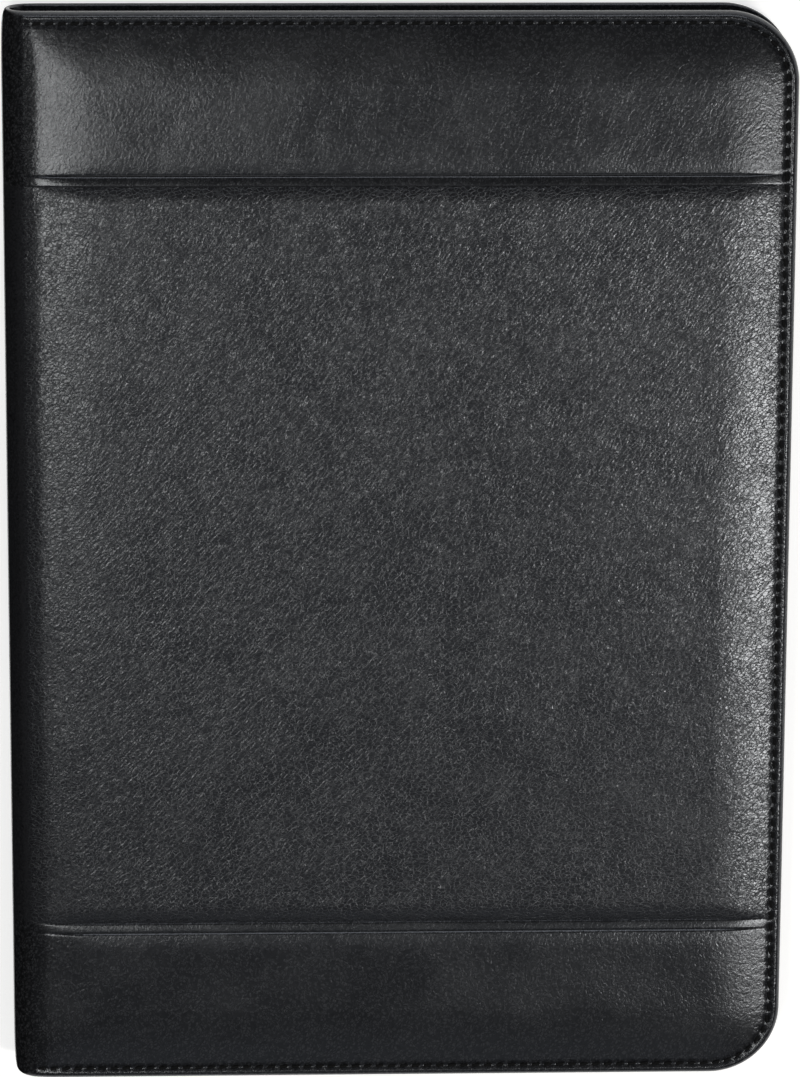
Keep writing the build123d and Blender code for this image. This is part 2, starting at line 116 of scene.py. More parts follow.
# Leather beside and on the welts
PANEL_VALLEY = 0.95 * MM
PANEL_VALLEY_RUN = 7.5 * MM
PANEL_VALLEY_POWER = 2.2
BAND_VALLEY = 0.4 * MM
BAND_VALLEY_RUN = 8.0 * MM
BAND_VALLEY_POWER = 2
CREASE_DEPTH = 0.3 * MM
CREASE_HALF = 0.3 * MM
WELT_SINK = 0.2 * MM
WELT_DOME = 0.08 * MM
WELT_STEPS = {"lower_welt": 0.2 * MM, "upper_welt": 0.55 * MM}
WELT_TILTS = {"lower_welt": -0.4 * MM, "upper_welt": 0.6 * MM}
WELT_STEP_START = 0.84

# Shares of the sewn relief and of the valleys that are left at the spine
SPINE_SEWN = 0.55
SPINE_VALLEY = 0.45

# Slow unevenness: its height, and each wave's length in mm, turn in degrees and phase
LEATHER_WAVE = 0.018 * MM
WAVES = ((61, 20, 0.4), (43, 75, 2.1), (37, 130, 4.0), (27, 55, 1.2), (23, 160, 5.1))

# Mesh steps, the distance at which points are merged and the error allowed in comparing distances
STEP = STITCH_PITCH / 4
FINE = 0.25 * MM
MERGE = 1e-6
ROUNDING = 1e-9
SEAM_ZONE = 2.0 * MM
SEAM_REACH = 5.6 * MM
EDGE_ROWS = 8
UNDER_ROWS = 6
CROWN_ROWS = 22
CROWN_GRADE = 1.4
FOLD_COLUMNS = 22
FOLD_GRADE = 1.6
SPINE_COLUMNS = 10

# Stitches of the rim
THREAD = 0.42 * MM
THREAD_TIP = 0.02 * MM
THREAD_SIDES = 8
THREAD_END_POWER = 8
STITCH_GAP = 0.9 * MM
STITCH_RISE = 0.45 * THREAD
STITCH_SINK = 0.35 * MM
STITCH_SLANT = 0.25 * MM
STITCH_POINTS = 7
STITCH_END_POWER = 4

# Cloth inside
CLOTH = 0.5 * MM
CLOTH_STEP = 3.0 * MM
CLOTH_EXTRA = 8
CLOTH_GRADE = 0.9
CLOTH_WAVE = 0.01 * MM
LINING_EDGE = 0.4 * MM
LINING_EDGE_RUN = 3 * LINING_EDGE
LINING_SLACK = 1.5 * MM
SPINE_LINING_INSET = 0.8 * FLAP
SPINE_LINING_ROWS = 8
SPINE_LINING_WAVE = 0.025 * MM
SPINE_LINING_CROWDING = 4
FOLD_LINING_ROWS = 16

# Pockets
SEWN_LIFT = 0.3 * MM
SEWN_RUN = 3.5 * MM
HEM = 7.0 * MM
HEM_RISE = 0.2 * MM
HEM_EDGE = 0.8 * MM
HEM_SEAM = 1.2 * MM
HEM_POINTS = 60
POCKET_CORNER = 6.0 * MM
POCKET_DIP = 8.0 * MM
CARD_DIP = 5.0 * MM
SLEEVE_ROOM = 0.1 * MM
SEAM_INSET = 1.6 * MM
SEAM_START = 0.05
SEAM_POINTS = 40
SEAM_CORNER_POINTS = 12
CLOTH_STITCH = 2.8 * MM
CLOTH_STITCH_GAP = 0.7 * MM
CLOTH_STITCH_POINTS = 5
CLOTH_THREAD = 0.2 * MM

# Pen loop and zip tapes
LOOP_BAND = 0.7 * MM
LOOP_PULL = 0.12 * MM
LOOP_LIFT = 0.1 * MM
LOOP_STEP = 1.0 * MM
LOOP_POINTS = 65
TAPE_INSET = 6.0 * MM
TAPE_CLOTH = 0.6 * MM
TAPE_WAVE = 0.1 * MM
TAPE_WAVE_LENGTH = 23 * MM
TAPE_ROWS = 8
TAPE_STRAIGHT = 0.99

# Ruled paper
RULE_STEP = 8.0 * MM
RULE_WIDTH = 0.3 * MM
RULE_HEAD = 30.0 * MM
MARGIN_INSET = 32.0 * MM

# Shine of the leather, set by which way it faces as painted shade: flat, at the ends of the case and on the
# spine's wall
LEATHER_SHINE = 0.5
END_SHINE = 0.3 * LEATHER_SHINE
WALL_SHINE = 0.7 * LEATHER_SHINE
LEATHER_TINT = (0.87, 0.91, 1.0, 1)

# Dark and light colours of the materials
PEBBLED_TONES = (0.004, 0.0041, 0.0046, 1), (0.014, 0.0144, 0.016, 1)
SMOOTH_TONES = (0.005, 0.0051, 0.0056, 1), (0.021, 0.0215, 0.0235, 1)
THREAD_TONES = (0.003, 0.003, 0.003, 1), (0.008, 0.008, 0.0085, 1)
LINING_TONES = (0.008, 0.008, 0.009, 1), (0.022, 0.022, 0.025, 1)
POCKET_TONES = (0.010, 0.010, 0.012, 1), (0.028, 0.028, 0.032, 1)
TAPE_TONES = (0.006, 0.006, 0.007, 1), (0.018, 0.018, 0.020, 1)
ELASTIC_TONES = (0.008, 0.008, 0.009, 1), (0.026, 0.026, 0.029, 1)
TEETH_TONES = (0.008, 0.008, 0.008, 1), (0.02, 0.02, 0.02, 1)
METAL_TONES = (0.22, 0.22, 0.225, 1), (0.3, 0.3, 0.305, 1)
BOARD_TONES = (0.2, 0.18, 0.15, 1), (0.32, 0.29, 0.24, 1)
CARD_TONES = (0.27, 0.22, 0.16, 1), (0.4, 0.34, 0.25, 1)
HEADER_TONES = (0.012, 0.012, 0.014, 1), (0.03, 0.03, 0.034, 1)
SHEET_TONES = (0.74, 0.74, 0.71, 1), (0.84, 0.84, 0.81, 1)
LEAF_TONES = (0.5, 0.5, 0.47, 1), (0.82, 0.82, 0.79, 1)
RULE_BLUE = (0.35, 0.5, 0.66, 1)
MARGIN_RED = (0.66, 0.28, 0.28, 1)

# Stage: floor and surroundings
FLOOR_SIZE = 12.0
FLOOR_GREY = (0.8, 0.8, 0.8, 1)
FLOOR_ROUGHNESS = 0.9
FLOOR_GLOW = 0.58
WHITE = (1, 1, 1, 1)
HORIZON = (0.95, 0.95, 0.95, 1)
CEILING = (0.033, 0.037, 0.046, 1)
CEILING_RISE = (0.1, 0.5)

# Each light's place and size in metres, its watts and its colour
LIGHTS = {
    "left_box": ((-0.46, -0.11, 1.75), (0.34, 0.42), 6.0, (1.0, 0.98, 0.9)),
    "right_box": ((0.74, -0.45, 1.75), (0.34, 0.28), 12.2, (1.0, 0.97, 0.9)),
    "top_box": ((0.0, -0.4, 1.75), (1.0, 0.6), 0.3, (0.82, 0.9, 1.0)),
    "low_box": ((0.0, -1.2, 1.5), (1.0, 0.5), 0.6, (0.9, 0.95, 1.0)),
    "back_box": ((0.0, 1.7, 1.4), (2.0, 0.6), 13.0, (0.97, 0.985, 1.0)),
}

# Camera at the photograph's viewing angle, in metres, degrees and millimetres
CAMERA_AT = (-0.0640, 0.4026, 1.6238)
CAMERA_TURN = (-13.921, -2.236, 0.249)
CAMERA_LENS = 179.06
SENSOR = 36.0


# Meshes
def spread(start, end, step):
    """Even places from start to end, about a step apart."""
    return np.linspace(start, end, max(1, round(abs(end - start) / step)) + 1)


def joined(parts):
    """Runs of places as one run, without their shared ends twice."""
    return np.concatenate([parts[0]] + [part[1:] for part in parts[1:]])


def lengths(route):
    """Length along a route of points, from its start to each point."""
    return np.concatenate([[0.0], np.cumsum(np.linalg.norm(np.diff(route, axis=0), axis=1))])


def at_lengths(along, route_lengths, route):
    """Points of a route at given lengths along it."""
    return np.stack([np.interp(along, route_lengths, column) for column in route.T], axis=1)


def quads(rows, columns, first=0):
    """Faces of a grid of points."""
    index = first + np.arange(rows * columns).reshape(rows, columns)
    corners = (index[:-1, :-1], index[:-1, 1:], index[1:, 1:], index[1:, :-1])
    return np.stack([corner.ravel() for corner in corners], axis=1)


def grid_piece(name, grids, material, outward=(0, 0, 1), thickness=0.0, offset=-1.0):
    """One smooth piece from grids of points, merged where they meet.

    Its faces are turned to point towards outward on the whole, or left as they are where that is None.
    """
    points, faces, count = [], [], 0
    for grid in grids:
        rows, columns, _ = grid.shape
        points.append(grid.reshape(-1, 3))
        faces.append(quads(rows, columns, count))
        count += rows * columns
    mesh = bpy.data.meshes.new(name)
    mesh.from_pydata(np.concatenate(points).tolist(), [], np.concatenate(faces).tolist())
    bm = bmesh.new()
    bm.from_mesh(mesh)
    bmesh.ops.remove_doubles(bm, verts=bm.verts, dist=MERGE)
    bmesh.ops.recalc_face_normals(bm, faces=bm.faces)
    for edge in bm.edges:
        edge.smooth = not edge.is_boundary
    if outward and sum(face.calc_area() * face.normal.dot(Vector(outward)) for face in bm.faces) < 0:
        bmesh.ops.reverse_faces(bm, faces=bm.faces)
    bm.to_mesh(mesh)
    bm.free()
    return finished(name, mesh, material, thickness, offset)


def finished(name, mesh, material, thickness, offset):
    """A smooth object for a mesh, thickened where it is a sheet: inwards at offset -1, both ways at 0."""
    mesh.polygons.foreach_set("use_smooth", [True] * len(mesh.polygons))
    mesh.materials.append(material)
    piece = bpy.data.objects.new(name, mesh)
    bpy.context.scene.collection.objects.link(piece)
    if thickness:
        solid = piece.modifiers.new("Thickness", "SOLIDIFY")
        solid.thickness = thickness
        solid.offset = offset
    return piece


def on_cover(side, grids):
    """Grids of the front cover, turned over for the back cover."""
    if side == "front":
        return grids
    return [np.stack([grid[..., 0], grid[..., 1], THICK - grid[..., 2]], axis=-1) for grid in grids]


# Shader nodes, with the numbers of a Mix node's sockets for colours
COLOUR_A, COLOUR_B, COLOUR_RESULT = 6, 7, 2


def socket_value(tree, socket, value):
    """Set a socket, or link it where the value is another socket."""
    if isinstance(value, bpy.types.NodeSocket):
        tree.links.new(value, socket)
    else:
        socket.default_value = value


def node(tree, kind, sockets, **settings):
    """A shader node with its settings, and its sockets by name or number."""
    made = tree.nodes.new(kind)
    for key, value in settings.items():
        setattr(made, key, value)
    for key, value in sockets.items():
        socket_value(tree, made.inputs[key], value)
    return made


def math_node(tree, operation, first, second=0.0):
    """Result of an operation on one or two values."""
    return node(tree, "ShaderNodeMath", {0: first, 1: second}, operation=operation).outputs[0]


def vector_node(tree, operation, first, second):
    """Result of an operation on two vectors."""
    return node(tree, "ShaderNodeVectorMath", {0: first, 1: second}, operation=operation).outputs[0]


def coordinates(tree, kind):
    """Place of a point, or way of the surface there, in one of Blender's kinds of coordinates."""
    return tree.nodes.new("ShaderNodeTexCoord").outputs[kind]


def split(tree, vector):
    """A vector's values along X, Y and Z."""
    outputs = node(tree, "ShaderNodeSeparateXYZ", {"Vector": vector}).outputs
    return outputs["X"], outputs["Y"], outputs["Z"]


def ramp(tree, value, source, target=(0.0, 1.0)):
    """A value mapped smoothly from one range to another."""
    sockets = {"Value": value, "From Min": source[0], "From Max": source[1], "To Min": target[0],
               "To Max": target[1]}
    return node(tree, "ShaderNodeMapRange", sockets, interpolation_type="SMOOTHSTEP").outputs["Result"]


def mixed(tree, amount, first, second):
    """Colour between two colours."""
    sockets = {"Factor": amount, COLOUR_A: first, COLOUR_B: second}
    return node(tree, "ShaderNodeMix", sockets, data_type="RGBA").outputs[COLOUR_RESULT]


def scaled(tree, place, scale, turn=0.0):
    """A place in a frame turned about the vertical, scaled along each of the frame's axes."""
    sizes = [1 / factor for factor in scale]
    sockets = {"Vector": place, "Rotation": (0, 0, math.radians(turn)), "Scale": sizes}
    return node(tree, "ShaderNodeMapping", sockets, vector_type="TEXTURE").outputs["Vector"]


def noise(tree, place, scale, detail=2.0, distortion=0.0):
    """Smooth noise, about half at most places."""
    sockets = {"Vector": place, "Scale": scale, "Detail": detail, "Distortion": distortion}
    return node(tree, "ShaderNodeTexNoise", sockets).outputs["Fac"]


def warped(tree, place, scale, reach):
    """A place moved about by noise."""
    made = node(tree, "ShaderNodeTexNoise", {"Vector": place, "Scale": scale, "Detail": 2.0})
    centred = vector_node(tree, "SUBTRACT", made.outputs["Color"], (0.5, 0.5, 0.5))
    moved = vector_node(tree, "MULTIPLY", centred, (reach, reach, reach))
    return vector_node(tree, "ADD", place, moved)


def from_crease(tree, place, scale):
    """Distance from the nearest edge of a pattern of irregular cells."""
    sockets = {"Vector": place, "Scale": scale}
    return node(tree, "ShaderNodeTexVoronoi", sockets, feature="DISTANCE_TO_EDGE").outputs["Distance"]


def weighted(tree, *shares):
    """Values added up, each times its weight."""
    total = 0.0
    for value, weight in shares:
        total = math_node(tree, "ADD", math_node(tree, "MULTIPLY", value, weight), total)
    return total


def near(tree, value, middle, reach):
    """One where a value is within reach of a middle, nought elsewhere."""
    away = math_node(tree, "ABSOLUTE", math_node(tree, "SUBTRACT", value, middle))
    return math_node(tree, "LESS_THAN", away, reach)


def bumped(tree, shader, height, distance, strength):
    """Relief of a surface."""
    made = node(tree, "ShaderNodeBump", {"Height": height, "Distance": distance, "Strength": strength})
    tree.links.new(made.outputs["Normal"], shader.inputs["Normal"])


def new_material(name):
    """An empty material with its shader, and the place of a point on the object."""
    material = bpy.data.materials.new(name)
    material.use_nodes = True
    tree = material.node_tree
    return material, tree, tree.nodes["Principled BSDF"], coordinates(tree, "Object")


# Materials
def shine_with_painted_shade(tree, shader):
    """Shine set by which way the leather faces, as painted shade: none on steep edges or on the fold turning
    towards the spine, less at the case's upper ends, some on the spine's wall.
    """
    x, y, z = split(tree, coordinates(tree, "Normal"))
    # Painted shade: full shine only where the leather faces up or down, none on its steep rounded edges
    front = ramp(tree, z, (0.1, 0.4), (0.0, LEATHER_SHINE))
    back = ramp(tree, z, (-0.75, -0.95), (0.0, LEATHER_SHINE))
    ends = ramp(tree, y, (0.5, 0.9), (0.0, END_SHINE))
    flat = math_node(tree, "MAXIMUM", math_node(tree, "MAXIMUM", front, back), ends)
    # Painted shade: no shine where the leather turns towards the spine side, so the fold there reads dark
    away = math_node(tree, "MULTIPLY", flat, ramp(tree, x, (-0.62, -0.15)))
    wall = ramp(tree, x, (-0.95, -0.995), (0.0, WALL_SHINE))
    tree.links.new(math_node(tree, "MAXIMUM", away, wall), shader.inputs["Specular IOR Level"])
    shader.inputs["Specular Tint"].default_value = LEATHER_TINT


def pebbled_leather():
    """Black leather with irregular pebbles between thin creases, drawn out by the padding."""
    material, tree, shader, place = new_material("pebbled_leather")
    drawn = warped(tree, place, scale=160.0, reach=1.6 * MM)
    moved = warped(tree, drawn, scale=900.0, reach=0.5 * MM)
    flattened = scaled(tree, moved, scale=(0.62, 1.05, 1.0), turn=8.0)
    slanted = scaled(tree, drawn, scale=(0.3, 1.25, 1.0), turn=50.0)
    crease = ramp(tree, from_crease(tree, flattened, scale=900.0), (0.0, 0.07))
    swell = ramp(tree, noise(tree, slanted, scale=1150.0, detail=1.0, distortion=0.5), (0.4, 0.78))
    fine = noise(tree, moved, scale=1500.0, detail=1.0)
    patch = noise(tree, place, scale=55.0, detail=3.0)
    stroke = math_node(tree, "MULTIPLY", swell, ramp(tree, patch, (0.35, 0.65), (0.85, 1.15)))
    relief = weighted(tree, (crease, 0.1), (stroke, 0.27), (fine, 0.32))
    bumped(tree, shader, relief, distance=0.175 * MM, strength=1.0)
    shine_with_painted_shade(tree, shader)
    tone = math_node(tree, "MULTIPLY", crease, ramp(tree, fine, (0.3, 0.7), (0.4, 1.0)))
    tree.links.new(mixed(tree, tone, *PEBBLED_TONES), shader.inputs["Base Color"])
    open_roughness = ramp(tree, patch, (0.3, 0.7), (0.19, 0.23))
    crease_roughness = math_node(tree, "MULTIPLY", math_node(tree, "SUBTRACT", 1.0, crease), 0.24)
    tree.links.new(math_node(tree, "ADD", open_roughness, crease_roughness), shader.inputs["Roughness"])
    return material


def smooth_leather(name, strength):
    """Black leather with fine grain and hairline creases."""
    material, tree, shader, place = new_material(name)
    moved = warped(tree, place, scale=120.0, reach=3.0 * MM)
    slanted = scaled(tree, moved, scale=(0.88, 1.1, 1.0), turn=62.0)
    long_cells = scaled(tree, moved, scale=(0.5, 1.3, 1.0), turn=66.0)
    long_folds = scaled(tree, moved, scale=(0.25, 1.0, 1.0), turn=58.0)
    hair = ramp(tree, from_crease(tree, long_cells, scale=420.0), (0.0, 0.05))
    grain = ramp(tree, from_crease(tree, slanted, scale=950.0), (0.0, 0.2))
    fine = noise(tree, slanted, scale=950.0, detail=1.5, distortion=0.5)
    fold = noise(tree, long_folds, scale=190.0, detail=3.0, distortion=0.8)
    patch = noise(tree, place, scale=40.0, detail=3.0)
    relief = weighted(tree, (hair, 0.08), (grain, 0.12), (fine, 0.75), (fold, 0.3))
    bumped(tree, shader, relief, distance=0.13 * MM, strength=strength)
    shine_with_painted_shade(tree, shader)
    tone = math_node(tree, "MULTIPLY", grain, ramp(tree, fine, (0.35, 0.65)))
    tree.links.new(mixed(tree, tone, *SMOOTH_TONES), shader.inputs["Base Color"])
    tree.links.new(ramp(tree, patch, (0.3, 0.7), (0.21, 0.26)), shader.inputs["Roughness"])
    return material


def woven(name, tones, thread, roughness):
    """Plain weave: threads over and under each other along the two directions of the cloth."""
    material, tree, shader, place = new_material(name)
    count = math.pi / thread
    threads = []
    for axis in ((1.0, 0.0, 0.0), (0.0, 1.0, 1.0)):
        along = node(tree, "ShaderNodeVectorMath", {0: place, 1: axis}, operation="DOT_PRODUCT")
        turns = math_node(tree, "MULTIPLY", along.outputs["Value"], count)
        threads.append(math_node(tree, "SINE", turns))
    over = math_node(tree, "MULTIPLY", *threads)
    ribs = math_node(tree, "MULTIPLY", *[math_node(tree, "ABSOLUTE", wave) for wave in threads])
    fuzz = noise(tree, place, scale=1400.0, detail=3.0)
    relief = weighted(tree, (over, 0.35), (ribs, 0.65), (fuzz, 0.3))
    bumped(tree, shader, relief, distance=0.12 * MM, strength=0.8)
    shade = ramp(tree, math_node(tree, "ADD", over, fuzz), (-0.4, 1.4))
    tree.links.new(mixed(tree, shade, *tones), shader.inputs["Base Color"])
    uneven = ramp(tree, fuzz, (0.3, 0.7), (roughness - 0.06, roughness + 0.06))
    tree.links.new(uneven, shader.inputs["Roughness"])
    shader.inputs["Sheen Weight"].default_value = 0.15
    shader.inputs["Sheen Roughness"].default_value = 0.5
    return material


def grained(name, tones, scale, roughness, relief, metallic=0.0, shine=0.5):
    """Plain surface with fine uneven grain in its colour, gloss and relief."""
    material, tree, shader, place = new_material(name)
    grain = noise(tree, place, scale, detail=4.0)
    cloud = noise(tree, place, scale / 12.0, detail=3.0)
    tone = math_node(tree, "MULTIPLY", math_node(tree, "ADD", grain, cloud), 0.5)
    tree.links.new(mixed(tree, tone, *tones), shader.inputs["Base Color"])
    uneven = ramp(tree, cloud, (0.3, 0.7), (roughness - 0.05, roughness + 0.07))
    tree.links.new(uneven, shader.inputs["Roughness"])
    bumped(tree, shader, grain, distance=relief, strength=0.5)
    shader.inputs["Metallic"].default_value = metallic
    shader.inputs["Specular IOR Level"].default_value = shine
    return material


def ruled_paper():
    """White sheets with pale blue rules and a red margin on top, and the edges of the leaves at the sides."""
    material, tree, shader, place = new_material("ruled_paper")
    x, y, _ = split(tree, place)
    facing_z = split(tree, coordinates(tree, "Normal"))[2]
    low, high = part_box("paper_block")
    from_top = math_node(tree, "SUBTRACT", high.y - RULE_HEAD, y)
    within = math_node(tree, "MODULO", math_node(tree, "MAXIMUM", from_top, 0.0), RULE_STEP)
    line = near(tree, within, RULE_STEP / 2, RULE_WIDTH / 2)
    margin = near(tree, x, low.x + MARGIN_INSET, RULE_WIDTH / 2)
    fibre = noise(tree, place, scale=900.0, detail=4.0)
    sheet = mixed(tree, fibre, *SHEET_TONES)
    ruled = mixed(tree, margin, mixed(tree, line, sheet, RULE_BLUE), MARGIN_RED)
    leaf = noise(tree, scaled(tree, place, scale=(20.0, 20.0, 9000.0)), scale=1.0)
    edge = mixed(tree, leaf, *LEAF_TONES)
    upward = ramp(tree, facing_z, (0.5, 0.9))
    tree.links.new(mixed(tree, upward, edge, ruled), shader.inputs["Base Color"])
    tree.links.new(ramp(tree, fibre, (0.2, 0.8), (0.8, 0.9)), shader.inputs["Roughness"])
    bumped(tree, shader, fibre, distance=0.05 * MM, strength=0.4)
    return material


PEBBLED = pebbled_leather()
SMOOTH = smooth_leather("smooth_leather", strength=0.6)
WELT = smooth_leather("welt_leather", strength=0.4)
THREADS = grained("thread", THREAD_TONES, scale=2200.0, roughness=0.8, relief=0.1 * MM, shine=0.1)
LINING = woven("lining", LINING_TONES, thread=0.5 * MM, roughness=0.7)
POCKET = woven("pocket_cloth", POCKET_TONES, thread=0.7 * MM, roughness=0.66)
TAPE = woven("zip_tape", TAPE_TONES, thread=0.42 * MM, roughness=0.75)
ELASTIC = woven("elastic", ELASTIC_TONES, thread=0.9 * MM, roughness=0.7)
TEETH = grained("zip_teeth", TEETH_TONES, scale=900.0, roughness=0.42, relief=0.03 * MM)
METAL = grained("zip_metal", METAL_TONES, scale=700.0, roughness=0.28, relief=0.01 * MM, metallic=1.0)
BOARD = grained("board", BOARD_TONES, scale=600.0, roughness=0.85, relief=0.08 * MM)
CARD = grained("pad_card", CARD_TONES, scale=700.0, roughness=0.82, relief=0.06 * MM)
HEADER = grained("header_tape", HEADER_TONES, scale=1200.0, roughness=0.6, relief=0.06 * MM)
PAPER = ruled_paper()


# Leather skins
def share(values):
    """Smooth share from 0 to 1."""
    held = np.clip(values, 0.0, 1.0)
    return held * held * (3 - 2 * held)


def eased(distance, bend):
    """Rise of a slope of one that starts softly at distance nought."""
    return bend * np.logaddexp(0.0, distance / bend)


def crown(inset):
    """Fall of the padding to the sewn line."""
    run = np.maximum(inset, STITCH_INSET) - STITCH_INSET
    return RIM_DROP / CROWN_RUN * eased(CROWN_RUN - run, CROWN_BEND)


def left_fall(x):
    """Fall of the padding towards the spine, which steepens as it turns into the fold."""
    run = x - COVER_X
    return LEFT_SLOPE * eased(LEFT_RUN - run, LEFT_BEND) + TURN_SLOPE * eased(TURN_RUN - run, TURN_BEND)


def left_slope(x, step=0.01 * MM):
    """Slope of that fall."""
    return float(left_fall(x - step) - left_fall(x + step)) / (2 * step)


LEFT_DROP = float(left_fall(COVER_X))


def roll(inset, fall, run):
    """Fall of the rounded edge, over a run from the edge."""
    out = np.clip(1 - inset / run, 0, 1)
    return fall * (1 - np.sqrt(1 - out ** 2))


def seam_crease(away):
    """Fall of the crease where a band and a welt are sewn together."""
    return CREASE_DEPTH * np.exp(-(away / CREASE_HALF) ** 2)


def welt_fall(from_band, wide, zone):
    """Fall of a welt at a distance from the band beside it."""
    across = from_band / wide
    step = WELT_STEPS[zone] * share((across - WELT_STEP_START) / (1 - WELT_STEP_START))
    rise = WELT_DOME * np.sin(np.pi * np.clip(across, 0, 1)) + WELT_TILTS[zone] * (across - 0.5)
    return BAND_VALLEY + WELT_SINK - rise + seam_crease(from_band) + step


def valley(y, zone):
    """Fall of the leather beside and on the two welts."""
    if zone == "lower_welt":
        return welt_fall(y - LOWER_WELT[0], LOWER_WELT[1] - LOWER_WELT[0], zone)
    if zone == "upper_welt":
        return welt_fall(UPPER_WELT[1] - y, UPPER_WELT[1] - UPPER_WELT[0], zone)
    if zone == "center_panel":
        away = np.minimum(y - LOWER_WELT[1], UPPER_WELT[0] - y)
        return PANEL_VALLEY * (1 - np.clip(away / PANEL_VALLEY_RUN, 0, 1)) ** PANEL_VALLEY_POWER
    away = LOWER_WELT[0] - y if zone == "bottom_band" else y - UPPER_WELT[1]
    fall = BAND_VALLEY * (1 - np.clip(away / BAND_VALLEY_RUN, 0, 1)) ** BAND_VALLEY_POWER
    return fall + seam_crease(away)


def stitch_relief(inset, along):
    """Sewn groove, rim and puckers, as a rise of the surface."""
    beat = np.cos(2 * np.pi * along / STITCH_PITCH)
    depth = GROOVE_DEPTH * (GROOVE_MEAN - GROOVE_BEAT * beat)
    groove = depth * np.exp(-((inset - STITCH_INSET) / GROOVE_HALF) ** 2)
    bulge = RIM_BULGE * np.sin(np.pi * np.clip(inset / STITCH_INSET, 0, 1)) * (1 - BULGE_BEAT * beat)
    beyond = np.clip(inset - STITCH_INSET, 0, None)
    pucker = -PUCKER * beat * np.exp(-beyond / PUCKER_RUN) * share(beyond / PUCKER_START)
    return bulge - groove - pucker


def waves(x, y):
    """Slow unevenness of leather and cloth, as a sum of waves of height one."""
    total = np.zeros_like(x)
    for length, turn, phase in WAVES:
        way = x * math.cos(math.radians(turn)) + y * math.sin(math.radians(turn))
        total = total + np.sin(2 * np.pi * way / (length * MM) + phase)
    return total


def combined(*falls):
    """Falls that run into each other without adding up."""
    return sum(np.abs(fall) ** DROP_POWER for fall in falls) ** (1 / DROP_POWER)


def cover_height(x, y, inset, along, zone):
    """Height of the front cover's leather."""
    fall = combined(crown(inset), left_fall(x), valley(y, zone)) + roll(inset, EDGE_ROUND, EDGE_ROUND)
    firm = SPINE_SEWN + (1 - SPINE_SEWN) * share((x - COVER_X) / LEFT_RUN)
    uneven = LEATHER_WAVE * waves(x, y) * share((inset - STITCH_INSET) / CROWN_RUN)
    return THICK - fall + firm * stitch_relief(inset, along) + uneven


# Insets of the rows from the edge: over the top, and under the turned-in edge with its rises
TOP_INSETS = joined([
    EDGE_ROUND * (1 - np.cos(np.linspace(0, np.pi / 2, EDGE_ROWS))),
    spread(EDGE_ROUND, SEAM_REACH, FINE),
    SEAM_REACH + (CORNER - SEAM_REACH) * np.linspace(0, 1, CROWN_ROWS) ** CROWN_GRADE,
])
UNDER_TURN = np.linspace(np.pi / 2, 0, UNDER_ROWS)
UNDER_INSETS = np.concatenate([[FLAP, FLAP / 2], UNDER_ROUND * (1 - np.cos(UNDER_TURN))])
UNDER_RISES = np.concatenate([[0, 0], UNDER_ROUND * (1 - np.sin(UNDER_TURN))])

# Places along the bottom edge, and runs of places along the fore edge, closer together at the welts
XS = joined([spread(COVER_X, COVER_X + TURN_RUN, FINE), spread(COVER_X + TURN_RUN, RIGHT - CORNER, STEP)])
FORE_PLACES = (
    -TOP + CORNER,
    LOWER_WELT[0] - SEAM_ZONE, LOWER_WELT[0], LOWER_WELT[1], LOWER_WELT[1] + SEAM_ZONE,
    UPPER_WELT[0] - SEAM_ZONE, UPPER_WELT[0], UPPER_WELT[1], UPPER_WELT[1] + SEAM_ZONE,
    TOP - CORNER,
)
FORE_STEPS = (STEP, FINE, FINE, FINE, STEP, FINE, FINE, FINE, STEP)
FORE_RUNS = [spread(*run) for run in zip(FORE_PLACES, FORE_PLACES[1:], FORE_STEPS)]

# Each zone of the leather: where its runs start and end in FORE_RUNS, its material and its slot
ZONES = {
    "bottom_band": (0, 2, SMOOTH, "smooth_leather"),
    "lower_welt": (2, 3, WELT, "welt_leather"),
    "center_panel": (3, 6, PEBBLED, "pebbled_leather"),
    "upper_welt": (6, 7, WELT, "welt_leather"),
    "top_band": (7, 9, SMOOTH, "smooth_leather"),
}
ZONE_YS = {zone: joined(FORE_RUNS[first:last]) for zone, (first, last, _, _) in ZONES.items()}


def rim_path():
    """Outline of a cover from the spine along the bottom, fore and top edges.

    Gives its places, its inward ways and the length along the sewn line.
    """
    arc = spread(-np.pi / 2, 0, STEP / CORNER)
    low_arc = np.stack([RIGHT - CORNER + CORNER * np.cos(arc), -TOP + CORNER + CORNER * np.sin(arc)], axis=1)
    low_way = -np.stack([np.cos(arc), np.sin(arc)], axis=1)
    bottom = np.stack([XS, np.full_like(XS, -TOP)], axis=1)
    fore = joined(FORE_RUNS)
    right = np.stack([np.full_like(fore, RIGHT), fore], axis=1)
    flip = np.array([1.0, -1.0])
    places = joined([bottom, low_arc, right, low_arc[::-1] * flip, bottom[::-1] * flip])
    ways = joined([np.tile([0.0, 1.0], (len(XS), 1)), low_way, np.tile([-1.0, 0.0], (len(fore), 1)),
                   low_way[::-1] * flip, np.tile([0.0, -1.0], (len(XS), 1))])
    return places, ways, lengths(places + STITCH_INSET * ways)


RIM_PLACES, RIM_WAYS, RIM_ALONG = rim_path()


def fore_index(y):
    """Number of the outline's place on the fore edge at y."""
    return int(np.argmin(np.hypot(*(RIM_PLACES - (RIGHT, y)).T)))


def zone_slice(zone):
    """The part of the outline that a band, panel or welt reaches."""
    start = 0 if zone == "bottom_band" else fore_index(ZONE_YS[zone][0])
    end = len(RIM_PLACES) - 1 if zone == "top_band" else fore_index(ZONE_YS[zone][-1])
    return slice(start, end + 1)


